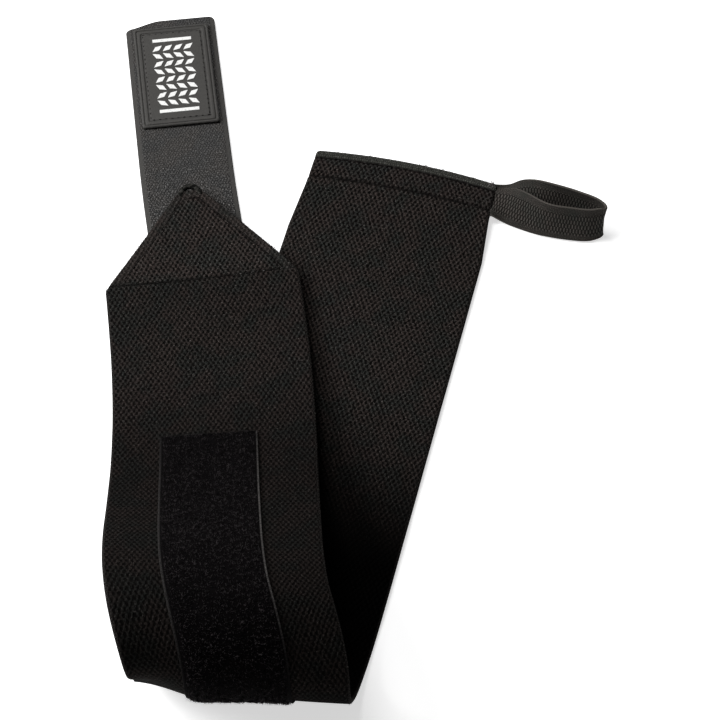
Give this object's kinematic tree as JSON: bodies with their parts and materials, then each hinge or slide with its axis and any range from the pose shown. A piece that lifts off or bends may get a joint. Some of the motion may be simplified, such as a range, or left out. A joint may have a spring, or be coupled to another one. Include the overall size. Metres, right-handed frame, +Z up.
{
  "type": "wrist wrap",
  "caption": "Weightlifting wrist wrap: wide elastic band with a thumb loop at its hem and a hook strap at its point, lying folded once over itself.",
  "frame": {"origin": "middle of the underside of the whole folded wrap, on the surface that it lies on", "axes": "+Z up, +Y from the fold's bend towards the strap's end, +X from the strap towards the thumb loop"},
  "size_m": [0.205, 0.351, 0.0579],
  "materials": {
    "band_elastic": "matte black ribbed elastic weave",
    "loop_elastic": "matte black narrow knitted elastic",
    "pile": "black brushed loop pile",
    "hook_tape": "dark grey woven tape with hooks underneath",
    "label_rubber": "satin black moulded rubber with a light printed pattern"
  },
  "bodies": {
    "root": {"elastic_band": "band_elastic", "thumb_loop": "loop_elastic", "pile_tape": "pile", "hook_strap": "hook_tape", "rubber_label": "label_rubber"}
  },
  "joints": []
}
